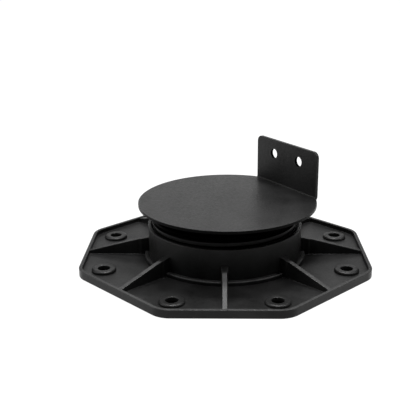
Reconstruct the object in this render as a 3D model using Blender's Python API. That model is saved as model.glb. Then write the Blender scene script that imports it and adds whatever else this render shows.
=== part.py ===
"""Adjustable decking pedestal in black moulded plastic.

Three pieces: an octagonal foot with a threaded collar, an open screw sleeve that turns in the
collar, and a round top plate with a folded-up fixing lug, which clips over the sleeve and turns
freely on it. Units are metres, +Z is up, and the origin is the middle of the foot's underside.
"""
import bpy
import bmesh
from math import asin, cos, degrees, floor, pi, radians, sin, tan
from mathutils import Matrix, Vector

# Foot: half widths from the centre to the sides, which face along X, along Y and diagonally
FOOT_HALF_X = 0.1000
FOOT_HALF_Y = 0.0982
FOOT_HALF_DIAGONAL = 0.0977
FOOT_CORNER_RADIUS = 0.0160
FLOOR_THICKNESS = 0.0025
RIM_HEIGHT = 0.0058
RIM_WIDTH = 0.0023
EDGE_ROUNDING = 0.0004

# Collar in the middle of the foot
COLLAR_HEIGHT = 0.0270
COLLAR_WALL = 0.0023
COLLAR_STEP_WIDTH = 0.0030
COLLAR_STEP_HEIGHT = 0.0028
COLLAR_STEP_ROUNDING = 0.0008
COLLAR_MOUTH_CHAMFER = 0.0006
COLLAR_PLAIN_BORE = 0.0062

# Gussets from the collar to the middle of each side
GUSSET_THICKNESS = 0.0031
GUSSET_ROOT_THICKNESS = 0.0047
GUSSET_HEIGHT_AT_COLLAR = 0.0156
GUSSET_FLAT_LENGTH = 0.0060
GUSSET_FLAT_DROP = 0.0011
GUSSET_BELOW_RIM = 0.0007

# Domed bosses round the fixing holes, one towards each corner
BOSS_INSET = 0.0182
BOSS_RADIUS = 0.0085
BOSS_CROWN_RADIUS = 0.0062
BOSS_HEIGHT = 0.0021
HOLE_MOUTH_RADIUS = 0.0042
SEAT_RADIUS = 0.0040
SEAT_HEIGHT = 0.0010
HOLE_RADIUS = 0.0027

# Thread shared by the collar and the sleeve
THREAD_CREST_RADIUS = 0.0516
THREAD_DEPTH = 0.0015
THREAD_PITCH = 0.0040
THREAD_CREST_WIDTH = 0.0018
THREAD_ROOT_WIDTH = 0.0013
THREAD_RISE = 0.00045
THREAD_CLEARANCE = 0.0004

# Screw sleeve
SLEEVE_WALL = 0.0030
SLEEVE_LENGTH = 0.0262
SLEEVE_NECK_LENGTH = 0.0018
SLEEVE_NECK_STEP = 0.0005
FLANGE_THICKNESS = 0.0022
FLANGE_WIDTH = 0.0040

# Top plate and its lug
PLATE_TOP = 0.0427
PLATE_RADIUS = 0.0630
PLATE_OFFSET = 0.0022
PLATE_THICKNESS = 0.0021
PLATE_CLEARANCE = 0.0003
LUG_DIRECTION = radians(35.2)
LUG_WIDTH = 0.0675
LUG_DISTANCE = 0.0550
LUG_HEIGHT = 0.0332
LUG_BEND_RADIUS = 0.0010
LUG_RELIEF_WIDTH = 0.0008
LUG_CORNER_RADIUS = 0.0045
LUG_HOLE_RADIUS = 0.0037
LUG_HOLE_SPACING = 0.0278
LUG_HOLE_BELOW_TOP = 0.0106

# Clips that hold the plate down on the sleeve's flange
CLIP_COUNT = 6
CLIP_ANGLE = radians(22)
CLIP_THICKNESS = 0.0018
CLIP_HOOK = 0.0013
CLIP_HOOK_HEIGHT = 0.0015
CLIP_CLEARANCE = 0.0003

# Fineness of the round shapes
THREAD_SIDES = 64
ROUND_SIDES = 96
BOSS_SIDES = 16
CORNER_STEPS = 5
BEND_STEPS = 6
SPARE_TURNS = 2
ROUND_PROFILE = 0.5
WELD = 0.00001

# Sizes that follow
MALE_ROOT_RADIUS = THREAD_CREST_RADIUS - THREAD_DEPTH
FEMALE_CREST_RADIUS = THREAD_CREST_RADIUS + THREAD_CLEARANCE
COLLAR_RADIUS = FEMALE_CREST_RADIUS + COLLAR_WALL
SLEEVE_TOP = PLATE_TOP - PLATE_THICKNESS - PLATE_CLEARANCE
SLEEVE_BOTTOM = SLEEVE_TOP - SLEEVE_LENGTH
SLEEVE_BORE_RADIUS = MALE_ROOT_RADIUS - SLEEVE_WALL
FLANGE_HOLE_RADIUS = SLEEVE_BORE_RADIUS - FLANGE_WIDTH
FLANGE_UNDERSIDE = SLEEVE_TOP - FLANGE_THICKNESS
OVERLAP = 0.0010


def remove_everything():
    for item in list(bpy.data.objects):
        bpy.data.objects.remove(item, do_unlink=True)


def plastic(name, color, roughness):
    """A dull black plastic."""
    material = bpy.data.materials.new(name)
    material.use_nodes = True
    shader = material.node_tree.nodes["Principled BSDF"]
    shader.inputs["Base Color"].default_value = (*color, 1.0)
    shader.inputs["Roughness"].default_value = roughness
    shader.inputs["Metallic"].default_value = 0.0
    return material


def new_object(name, mesh_builder, material=None):
    """Turn a bmesh into a named object in the scene."""
    bmesh.ops.recalc_face_normals(mesh_builder, faces=mesh_builder.faces)
    mesh = bpy.data.meshes.new(name)
    mesh_builder.to_mesh(mesh)
    mesh_builder.free()
    item = bpy.data.objects.new(name, mesh)
    bpy.context.scene.collection.objects.link(item)
    if material:
        mesh.materials.append(material)
    return item


def as_cutter(item):
    """A cutter shows as wires and is not part of the pedestal."""
    item.hide_render = True
    item.display_type = "WIRE"
    return item


def boolean(target, operation, tools):
    """Add one live Boolean for each tool object."""
    for tool in tools:
        modifier = target.modifiers.new(f"{operation.lower()} {tool.name}", "BOOLEAN")
        modifier.operation = operation
        modifier.solver = "EXACT"
        modifier.object = tool


def turned(name, outline, sides):
    """Spin a closed (radius, height) outline about Z; points on the axis become one point each."""
    build = bmesh.new()
    rings = []
    for radius, height in outline:
        if radius < WELD:
            rings.append([build.verts.new((0.0, 0.0, height))])
            continue
        angles = [2 * pi * k / sides for k in range(sides)]
        rings.append([build.verts.new((radius * cos(a), radius * sin(a), height)) for a in angles])
    for first, second in zip(rings, rings[1:] + rings[:1]):
        if len(first) == 1 and len(second) == 1:
            continue
        for k in range(sides):
            after = (k + 1) % sides
            corners = [first[k % len(first)], first[after % len(first)],
                       second[after % len(second)], second[k % len(second)]]
            build.faces.new(list(dict.fromkeys(corners)))
    return new_object(name, build)


def side_distance(angle):
    """Distance from the centre to the foot's side that faces the given direction."""
    across = abs(round(cos(angle), 6)), abs(round(sin(angle), 6))
    if across[1] == 0:
        return FOOT_HALF_X
    if across[0] == 0:
        return FOOT_HALF_Y
    return FOOT_HALF_DIAGONAL


def side_directions():
    return [k * pi / 4 for k in range(8)]


def foot_corner(angle, inset=0.0):
    """The sharp corner between the side facing angle and the next side, pulled in by inset."""
    nearer, further = angle, angle + pi / 4
    a, b = side_distance(nearer) - inset, side_distance(further) - inset
    span = sin(further - nearer)
    x = (a * sin(further) - b * sin(nearer)) / span
    y = (b * cos(nearer) - a * cos(further)) / span
    return Vector((x, y))


def octagon(inset):
    """The foot's plan as points, with each corner rounded by an arc."""
    points = []
    radius = FOOT_CORNER_RADIUS - inset
    for angle in side_directions():
        centre = foot_corner(angle, inset + radius)
        for step in range(CORNER_STEPS + 1):
            turn = angle + pi / 4 * step / CORNER_STEPS
            points.append(centre + radius * Vector((cos(turn), sin(turn))))
    return points


def foot_tray():
    """Floor and raised rim as one skin, built loop by loop from the underside to the floor."""
    build = bmesh.new()
    rim_inside = RIM_WIDTH
    levels = [(EDGE_ROUNDING, 0.0), (0.0, EDGE_ROUNDING),
              (0.0, RIM_HEIGHT - EDGE_ROUNDING), (EDGE_ROUNDING, RIM_HEIGHT),
              (rim_inside - EDGE_ROUNDING, RIM_HEIGHT), (rim_inside, RIM_HEIGHT - EDGE_ROUNDING),
              (rim_inside, FLOOR_THICKNESS)]
    loops = [[build.verts.new((*point, height)) for point in octagon(inset)]
             for inset, height in levels]
    for lower, upper in zip(loops, loops[1:]):
        for k in range(len(lower)):
            after = (k + 1) % len(lower)
            build.faces.new((lower[k], lower[after], upper[after], upper[k]))
    build.faces.new(reversed(loops[0]))
    build.faces.new(loops[-1])
    return new_object("foot_and_collar", build)


def collar_blank():
    """The collar before its thread is cut: a solid drum with a low step round its foot."""
    step_radius = COLLAR_RADIUS + COLLAR_STEP_WIDTH
    step_top = FLOOR_THICKNESS + COLLAR_STEP_HEIGHT
    outline = [(0.0, FLOOR_THICKNESS / 2), (0.0, COLLAR_HEIGHT),
               (COLLAR_RADIUS - EDGE_ROUNDING, COLLAR_HEIGHT),
               (COLLAR_RADIUS, COLLAR_HEIGHT - EDGE_ROUNDING),
               (COLLAR_RADIUS, step_top),
               (step_radius - COLLAR_STEP_ROUNDING, step_top),
               (step_radius, step_top - COLLAR_STEP_ROUNDING),
               (step_radius, FLOOR_THICKNESS / 2)]
    return as_cutter(turned("collar blank", outline, ROUND_SIDES))


def upright(name, angle, profile, thickness):
    """A wall drawn from the side as radius and height, given its thickness and turned to angle."""
    build = bmesh.new()
    face = build.faces.new([build.verts.new((r, -thickness / 2, z)) for r, z in profile])
    moved = bmesh.ops.extrude_face_region(build, geom=[face])
    corners = [v for v in moved["geom"] if isinstance(v, bmesh.types.BMVert)]
    bmesh.ops.translate(build, verts=corners, vec=(0.0, thickness, 0.0))
    bmesh.ops.rotate(build, verts=build.verts, matrix=Matrix.Rotation(angle, 3, "Z"))
    return as_cutter(new_object(f"{name} {degrees(angle):.0f}", build))


def gusset(angle):
    """A thin web that runs down to the rim, and its thicker root at the collar."""
    reach = side_distance(angle) - RIM_WIDTH / 2
    inside, knee = COLLAR_RADIUS - OVERLAP, COLLAR_RADIUS + GUSSET_FLAT_LENGTH
    knee_top = GUSSET_HEIGHT_AT_COLLAR - GUSSET_FLAT_DROP
    buried = FLOOR_THICKNESS / 2
    web = [(knee - OVERLAP, buried), (reach, buried), (reach, RIM_HEIGHT - GUSSET_BELOW_RIM),
           (knee, knee_top - 10 * WELD), (knee - OVERLAP, knee_top - 10 * WELD)]
    root = [(inside, buried - 10 * WELD), (knee, buried - 10 * WELD), (knee, knee_top),
            (inside, GUSSET_HEIGHT_AT_COLLAR)]
    return [upright("gusset", angle, web, GUSSET_THICKNESS),
            upright("gusset root", angle, root, GUSSET_ROOT_THICKNESS)]


def boss_places():
    """Middle of each fixing hole, on the line from the centre to a corner of the foot."""
    corners = [foot_corner(angle) for angle in side_directions()]
    return [corner - corner.normalized() * BOSS_INSET for corner in corners]


def boss(place, number):
    """A low dome with a rounded crown, turned and moved to its place."""
    base = FLOOR_THICKNESS
    crown = base + BOSS_HEIGHT
    slope = BOSS_RADIUS - BOSS_CROWN_RADIUS
    outline = [(0.0, base / 2), (0.0, crown), (BOSS_CROWN_RADIUS, crown)]
    for step in (1, 2):
        turn = pi / 2 * step / 3
        outline.append((BOSS_CROWN_RADIUS + slope * sin(turn), base + BOSS_HEIGHT * cos(turn)))
    outline += [(BOSS_RADIUS, base), (BOSS_RADIUS, base / 2)]
    item = as_cutter(turned(f"boss {number}", outline, BOSS_SIDES))
    item.location = (*place, 0.0)
    return item


def fixing_hole(place, number):
    """A stepped cutter: a deep mouth down to the seat of the screw's head, then its hole."""
    crown = FLOOR_THICKNESS + BOSS_HEIGHT
    outline = [(0.0, -OVERLAP), (0.0, crown + OVERLAP), (HOLE_MOUTH_RADIUS, crown + OVERLAP),
               (HOLE_MOUTH_RADIUS, crown - EDGE_ROUNDING), (SEAT_RADIUS, SEAT_HEIGHT),
               (HOLE_RADIUS, SEAT_HEIGHT), (HOLE_RADIUS, -OVERLAP)]
    item = as_cutter(turned(f"fixing hole {number}", outline, BOSS_SIDES))
    item.location = (*place, 0.0)
    return item


def threaded_rod(name, low, high, clearance):
    """A closed rod with a helical ridge; a clearance makes it the tap that cuts the collar."""
    flank = (THREAD_PITCH - THREAD_CREST_WIDTH - THREAD_ROOT_WIDTH) / 2
    root, crest = MALE_ROOT_RADIUS + clearance, THREAD_CREST_RADIUS + clearance
    groove_end = THREAD_RISE + THREAD_ROOT_WIDTH / 2
    turn = [(groove_end - THREAD_ROOT_WIDTH, root), (groove_end, root),
            (groove_end + flank, crest),
            (groove_end + flank + THREAD_CREST_WIDTH, crest)]
    first_turn = floor(low / THREAD_PITCH) - SPARE_TURNS
    last_turn = floor(high / THREAD_PITCH) + SPARE_TURNS
    rows = [(THREAD_PITCH * k + rise, radius)
            for k in range(first_turn, last_turn) for rise, radius in turn]
    build = bmesh.new()
    grid = []
    for side in range(THREAD_SIDES):
        angle = 2 * pi * side / THREAD_SIDES
        lift = THREAD_PITCH * side / THREAD_SIDES
        grid.append([build.verts.new((r * cos(angle), r * sin(angle), z + lift)) for z, r in rows])
    for side in range(THREAD_SIDES):
        here, there = grid[side], grid[(side + 1) % THREAD_SIDES]
        skip = len(turn) if side == THREAD_SIDES - 1 else 0
        for k in range(len(rows) - 1 - skip):
            build.faces.new((here[k], there[k + skip], there[k + 1 + skip], here[k + 1]))
    for height, direction in ((low, -1.0), (high, 1.0)):
        everything = build.verts[:] + build.edges[:] + build.faces[:]
        bmesh.ops.bisect_plane(build, geom=everything, dist=WELD / 10, plane_co=(0, 0, height),
                               plane_no=(0, 0, direction), clear_outer=True)
    ends = [edge for edge in build.edges if edge.is_boundary]
    bmesh.ops.holes_fill(build, edges=ends)
    return new_object(name, build)


def collar_bore():
    """A plain bore below the thread and a small chamfer at the mouth, as one turned cutter each."""
    plain_radius = FEMALE_CREST_RADIUS + THREAD_CLEARANCE
    plain = [(0.0, -OVERLAP), (0.0, COLLAR_PLAIN_BORE), (plain_radius, COLLAR_PLAIN_BORE),
             (plain_radius, -OVERLAP)]
    low = COLLAR_HEIGHT - COLLAR_MOUTH_CHAMFER - (FEMALE_CREST_RADIUS - MALE_ROOT_RADIUS)
    mouth = [(0.0, low), (0.0, COLLAR_HEIGHT + OVERLAP),
             (FEMALE_CREST_RADIUS + COLLAR_MOUTH_CHAMFER + OVERLAP, COLLAR_HEIGHT + OVERLAP),
             (MALE_ROOT_RADIUS, low)]
    return [as_cutter(turned("plain bore", plain, THREAD_SIDES)),
            as_cutter(turned("collar mouth", mouth, THREAD_SIDES))]


def make_foot(material):
    """The foot: tray, collar, gussets and bosses joined, then the bore and the holes cut."""
    foot = foot_tray()
    foot.data.materials.append(material)
    tap = as_cutter(threaded_rod("collar thread", COLLAR_PLAIN_BORE - OVERLAP,
                                 COLLAR_HEIGHT + OVERLAP, THREAD_CLEARANCE))
    places = boss_places()
    added = [collar_blank()] + [piece for angle in side_directions() for piece in gusset(angle)]
    added += [boss(place, k) for k, place in enumerate(places)]
    removed = [tap] + collar_bore() + [fixing_hole(place, k) for k, place in enumerate(places)]
    boolean(foot, "UNION", added)
    boolean(foot, "DIFFERENCE", removed)
    return foot


def make_sleeve(material):
    """The screw sleeve: a threaded tube with a short neck and an inward flange at its top."""
    neck_bottom = SLEEVE_TOP - SLEEVE_NECK_LENGTH
    sleeve = threaded_rod("screw_sleeve", SLEEVE_BOTTOM, neck_bottom, 0.0)
    sleeve.data.materials.append(material)
    neck_radius = MALE_ROOT_RADIUS - SLEEVE_NECK_STEP
    neck = [(0.0, neck_bottom - OVERLAP), (0.0, SLEEVE_TOP),
            (neck_radius - EDGE_ROUNDING, SLEEVE_TOP), (neck_radius, SLEEVE_TOP - EDGE_ROUNDING),
            (neck_radius, neck_bottom - OVERLAP)]
    bore = [(0.0, SLEEVE_BOTTOM - OVERLAP), (0.0, SLEEVE_TOP + OVERLAP),
            (FLANGE_HOLE_RADIUS, SLEEVE_TOP + OVERLAP), (FLANGE_HOLE_RADIUS, FLANGE_UNDERSIDE),
            (SLEEVE_BORE_RADIUS, FLANGE_UNDERSIDE), (SLEEVE_BORE_RADIUS, SLEEVE_BOTTOM - OVERLAP)]
    boolean(sleeve, "UNION", [as_cutter(turned("sleeve neck", neck, THREAD_SIDES))])
    boolean(sleeve, "DIFFERENCE", [as_cutter(turned("sleeve bore", bore, THREAD_SIDES))])
    return sleeve


def plate_outline():
    """The flat blank in the lug's own directions: a disc, a relief slit at each end of the fold,
    and between the slits the straight edge where the lug folds up."""
    fold = LUG_DISTANCE - LUG_BEND_RADIUS
    half_width = LUG_WIDTH / 2
    slit = half_width + LUG_RELIEF_WIDTH
    gap = asin(slit / PLATE_RADIUS)
    steps = ROUND_SIDES - 8
    angles = [gap + 2 * (pi - gap) * k / steps for k in range(steps + 1)]
    rim = [(PLATE_OFFSET + PLATE_RADIUS * cos(a), PLATE_RADIUS * sin(a)) for a in angles]
    return rim + [(fold, -slit), (fold, -half_width), (fold, half_width), (fold, slit)]


def folded_plate():
    """Extrude the blank, then fold and draw out its straight edge as the lug."""
    build = bmesh.new()
    underside = PLATE_TOP - PLATE_THICKNESS
    blank = build.faces.new([build.verts.new((x, y, underside)) for x, y in plate_outline()])
    raised = bmesh.ops.extrude_face_region(build, geom=[blank])
    top = [v for v in raised["geom"] if isinstance(v, bmesh.types.BMVert)]
    bmesh.ops.translate(build, verts=top, vec=(0.0, 0.0, PLATE_THICKNESS))
    fold = LUG_DISTANCE - LUG_BEND_RADIUS
    edge_face = min(build.faces, key=lambda f: (f.calc_center_median() - Vector(
        (fold, 0.0, PLATE_TOP - PLATE_THICKNESS / 2))).length)
    bent = bmesh.ops.spin(build, geom=[edge_face], cent=(fold, 0.0, PLATE_TOP + LUG_BEND_RADIUS),
                          axis=(0.0, -1.0, 0.0), angle=pi / 2, steps=BEND_STEPS, use_duplicate=False)
    last = [f for f in bent["geom_last"] if isinstance(f, bmesh.types.BMFace)][0]
    drawn = bmesh.ops.extrude_face_region(build, geom=[last])
    ends = [v for v in drawn["geom"] if isinstance(v, bmesh.types.BMVert)]
    bmesh.ops.translate(build, verts=ends, vec=(0.0, 0.0, LUG_HEIGHT - LUG_BEND_RADIUS))
    bmesh.ops.delete(build, geom=[f for f in (edge_face, last) if f.is_valid], context="FACES_ONLY")
    lug_top = PLATE_TOP + LUG_HEIGHT
    corners = [e for e in build.edges
               if all(abs(v.co.z - lug_top) < WELD for v in e.verts)
               and abs(e.verts[0].co.y - e.verts[1].co.y) < WELD]
    bmesh.ops.bevel(build, geom=corners, offset=LUG_CORNER_RADIUS, segments=CORNER_STEPS,
                    profile=ROUND_PROFILE, affect="EDGES", clamp_overlap=True)
    bmesh.ops.rotate(build, verts=build.verts, matrix=Matrix.Rotation(LUG_DIRECTION, 3, "Z"))
    return new_object("top_plate", build)


def lug_holes():
    """Two cutters through the lug, side by side below its top edge."""
    height = PLATE_TOP + LUG_HEIGHT - LUG_HOLE_BELOW_TOP
    holes = []
    for number, side in enumerate((-1, 1)):
        build = bmesh.new()
        bmesh.ops.create_cone(build, cap_ends=True, segments=BOSS_SIDES, radius1=LUG_HOLE_RADIUS,
                              radius2=LUG_HOLE_RADIUS, depth=PLATE_THICKNESS + 2 * OVERLAP)
        bmesh.ops.rotate(build, verts=build.verts, matrix=Matrix.Rotation(pi / 2, 3, "Y"))
        middle = (LUG_DISTANCE + PLATE_THICKNESS / 2, side * LUG_HOLE_SPACING / 2, height)
        bmesh.ops.translate(build, verts=build.verts, vec=middle)
        bmesh.ops.rotate(build, verts=build.verts, matrix=Matrix.Rotation(LUG_DIRECTION, 3, "Z"))
        holes.append(as_cutter(new_object(f"lug hole {number}", build)))
    return holes


def clip(number):
    """One springy hook: its section in radius and height, swept through a short arc."""
    outer = FLANGE_HOLE_RADIUS - CLIP_CLEARANCE
    inner = outer - CLIP_THICKNESS
    hook_top = FLANGE_UNDERSIDE - CLIP_CLEARANCE
    hook_tip = hook_top - CLIP_HOOK_HEIGHT
    root = PLATE_TOP - PLATE_THICKNESS / 2
    section = [(inner, root), (outer, root), (outer, hook_top),
               (outer + CLIP_HOOK, hook_top), (outer + CLIP_HOOK, hook_top - EDGE_ROUNDING),
               (outer, hook_tip), (inner, hook_tip)]
    build = bmesh.new()
    face = build.faces.new([build.verts.new((r, 0.0, z)) for r, z in section])
    swept = bmesh.ops.spin(build, geom=[face], cent=(0, 0, 0), axis=(0, 0, 1), angle=CLIP_ANGLE,
                           steps=4, use_duplicate=False)
    caps = [f for f in swept["geom_last"] if isinstance(f, bmesh.types.BMFace)]
    if not caps:
        bmesh.ops.holes_fill(build, edges=[e for e in build.edges if e.is_boundary])
    start = 2 * pi * number / CLIP_COUNT
    bmesh.ops.rotate(build, verts=build.verts, matrix=Matrix.Rotation(start, 3, "Z"))
    return as_cutter(new_object(f"clip {number}", build))


def make_plate(material):
    """The top plate with its lug, the lug's holes and the clips below."""
    plate = folded_plate()
    plate.data.materials.append(material)
    rounding = plate.modifiers.new("rounded edges", "BEVEL")
    rounding.width = EDGE_ROUNDING
    rounding.segments = 1
    rounding.limit_method = "ANGLE"
    rounding.angle_limit = radians(50)
    boolean(plate, "DIFFERENCE", lug_holes())
    boolean(plate, "UNION", [clip(number) for number in range(CLIP_COUNT)])
    return plate


def shade(item):
    """Smooth the round faces and keep the real edges sharp."""
    item.data.shade_smooth()
    item.data.set_sharp_from_angle(angle=radians(32))


remove_everything()
foot_plastic = plastic("foot_plastic", (0.020, 0.020, 0.021), 0.55)
sleeve_plastic = plastic("sleeve_plastic", (0.016, 0.016, 0.017), 0.50)
plate_plastic = plastic("plate_plastic", (0.024, 0.024, 0.025), 0.60)
for piece in (make_foot(foot_plastic), make_sleeve(sleeve_plastic), make_plate(plate_plastic)):
    shade(piece)
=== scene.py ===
# %% [markdown]
# Adjustable decking pedestal
#
# A black moulded foot stands on the ground and holds a threaded collar. An open screw sleeve turns
# in the collar, and a round top plate with a folded-up fixing lug sits on the sleeve. This script
# dresses the plain CAD model of that pedestal for a studio picture. The CAD model is the fixed
# frame: it says where each piece is and how it moves, and each piece built here takes its place.

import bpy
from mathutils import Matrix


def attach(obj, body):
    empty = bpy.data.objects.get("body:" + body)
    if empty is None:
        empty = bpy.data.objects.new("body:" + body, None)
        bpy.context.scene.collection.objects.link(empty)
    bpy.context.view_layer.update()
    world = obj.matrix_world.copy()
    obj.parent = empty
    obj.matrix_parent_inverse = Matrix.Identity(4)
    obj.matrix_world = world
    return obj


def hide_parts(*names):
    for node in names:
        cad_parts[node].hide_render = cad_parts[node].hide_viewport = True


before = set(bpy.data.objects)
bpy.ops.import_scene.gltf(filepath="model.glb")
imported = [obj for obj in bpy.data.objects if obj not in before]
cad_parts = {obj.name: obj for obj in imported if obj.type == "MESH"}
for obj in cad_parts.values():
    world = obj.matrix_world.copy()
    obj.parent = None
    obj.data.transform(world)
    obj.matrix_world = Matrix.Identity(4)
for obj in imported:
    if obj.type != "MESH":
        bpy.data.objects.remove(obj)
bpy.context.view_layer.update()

from math import atan2, asin, cos, pi, radians, sin, tan

import bmesh
import bpy
from mathutils import Matrix, Vector

# %% [markdown]
# Sizes
#
# Every piece stands where the CAD solid that it replaces stands, so the sizes are the same ones,
# in metres. The real pedestal is 200 mm across, its thread has a 4 mm pitch, and its walls are 2
# to 3 mm thick, as walls of moulded polypropylene are. A few small radii are added here: the
# fillets at the foot of each wall and the rounded edges that the mould leaves. The thread's crest
# is drawn 0.6 mm wider than the solid's and its groove narrower, as they look on the real sleeve.

# %% Foot sizes
FOOT_HALF_X, FOOT_HALF_Y, FOOT_HALF_DIAGONAL = 0.1000, 0.0982, 0.0977
FOOT_CORNER_RADIUS = 0.0160
FLOOR_TOP = 0.0025
RIM_TOP = 0.0058
RIM_WIDTH = 0.0023
RIM_ROUNDING = 0.0003
FLOOR_FILLET = 0.0004

COLLAR_RADIUS = 0.0543
COLLAR_TOP = 0.0270
COLLAR_STEP_WIDTH = 0.0030
COLLAR_STEP_HEIGHT = 0.0028
PLAIN_BORE_TOP = 0.0062
PLAIN_BORE_RADIUS = 0.0524

GUSSET_HALF_THICKNESS = 0.00155
GUSSET_ROOT_HALF_THICKNESS = 0.0022
GUSSET_TOP_AT_COLLAR = 0.0156
GUSSET_KNEE_DISTANCE = 0.0060
GUSSET_KNEE_DROP = 0.0011
GUSSET_BELOW_RIM = 0.0007

BOSS_INSET = 0.0182
BOSS_RADIUS = 0.0085
BOSS_CROWN_RADIUS = 0.0062
BOSS_HEIGHT = 0.0021
HOLE_MOUTH_RADIUS = 0.0042
SEAT_RADIUS = 0.0040
SEAT_HEIGHT = 0.0010
HOLE_RADIUS = 0.0027

# %% Thread, sleeve and plate sizes
THREAD_PITCH = 0.0040
THREAD_DEPTH = 0.0015
THREAD_CREST_WIDTH = 0.0024
THREAD_ROOT_WIDTH = 0.0007
SLEEVE_ROOT_RADIUS = 0.0501
COLLAR_GROOVE_RADIUS = 0.0520
THREAD_RISE = 0.00045

SLEEVE_BOTTOM, SLEEVE_TOP = 0.0141, 0.0403
SLEEVE_BORE_RADIUS = 0.0471
SLEEVE_NECK_RADIUS = 0.0496
SLEEVE_NECK_BOTTOM = SLEEVE_TOP - 0.0018
FLANGE_HOLE_RADIUS = 0.0431
FLANGE_UNDERSIDE = SLEEVE_TOP - 0.0022

PLATE_TOP = 0.0427
PLATE_UNDERSIDE = PLATE_TOP - 0.0021
PLATE_RADIUS = 0.0630
PLATE_OFFSET = 0.0022
LUG_DIRECTION = radians(35.2)
LUG_HALF_WIDTH = 0.03375
LUG_DISTANCE = 0.0550
LUG_THICKNESS = PLATE_TOP - PLATE_UNDERSIDE
LUG_TOP = PLATE_TOP + 0.0332
LUG_BEND_RADIUS = 0.0010
LUG_RELIEF_WIDTH = 0.0008
LUG_CORNER_RADIUS = 0.0045
LUG_HOLE_RADIUS = 0.0037
LUG_HOLE_SPACING = 0.0278
LUG_HOLE_HEIGHT = LUG_TOP - 0.0106

CLIP_COUNT = 6
CLIP_ANGLE = radians(22)
CLIP_OUTER_RADIUS = FLANGE_HOLE_RADIUS - 0.0003
CLIP_THICKNESS = 0.0018
CLIP_HOOK = 0.0013
HOOK_TOP = FLANGE_UNDERSIDE - 0.0003
HOOK_TIP = HOOK_TOP - 0.0015

HIDDEN = 0.00003
"""How far a shell dips below the surface that it stands on, so the two never share a plane."""

print("thread rises", 1000 * THREAD_PITCH, "mm a turn")

# %% [markdown]
# The camera
#
# The camera comes first, because every comparison with the photograph depends on it. Its place
# and its three turns were found by matching the foot's eight corners and the plate's ellipse. A
# lens of 70 mm on a full-frame sensor, half a metre away, gives the gentle perspective of a
# product photograph. The turns are applied from right to left: a small roll, a tilt up from
# looking straight down, and a small turn about the vertical.

# %% Camera
CAMERA_PLACE = (-0.00048, -0.51989, 0.21701)
CAMERA_TURN, CAMERA_TILT, CAMERA_ROLL = radians(1.865), radians(71.508), radians(-0.632)

camera_data = bpy.data.cameras.new("product camera")
camera_data.lens = 69.734
camera_data.sensor_width = 36.0
camera = bpy.data.objects.new("product camera", camera_data)
bpy.context.scene.collection.objects.link(camera)
camera.matrix_world = (Matrix.Translation(CAMERA_PLACE)
                       @ Matrix.Rotation(CAMERA_TURN, 4, "Z")
                       @ Matrix.Rotation(CAMERA_TILT, 4, "X")
                       @ Matrix.Rotation(CAMERA_ROLL, 4, "Z"))
bpy.context.scene.camera = camera
print("camera is", round(Vector(CAMERA_PLACE).length, 3), "m from the middle of the foot")

# %% [markdown]
# Black moulded plastic
#
# All three pieces are the same kind of plastic: polypropylene filled with carbon black. It isn't
# a flat black. The mould's spark-eroded surface leaves a fine grain, about half a millimetre
# across, and the colour drifts a little where the melt cooled at different speeds. The edges turn
# slightly paler and smoother, partly as wear from handling and partly as a painted highlight along
# the edges. One function makes the material, and three calls give the foot, the sleeve and the
# plate their own values. The patterns read Object coordinates, so they stay on a piece when it
# moves.
#
# Two marks on the mesh steer the material from place to place. The first is a painted highlight:
# where it is above 0, the plastic turns to a paler grey. The second is painted shade: where it is
# above 0, the plastic turns black and loses its sheen.

# %% A helper that adds shader nodes and wires them
def add_node(tree, kind, settings=None, inputs=None):
    """Add a node, set its properties, and fill or link its inputs by name or number."""
    node = tree.nodes.new(kind)
    for key, value in (settings or {}).items():
        setattr(node, key, value)
    for key, value in (inputs or {}).items():
        if isinstance(value, bpy.types.NodeSocket):
            tree.links.new(value, node.inputs[key])
        else:
            node.inputs[key].default_value = value
    return node


# %% The plastic
# The paler grey of the painted highlights.
HIGHLIGHT_GREY = 0.070


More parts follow.
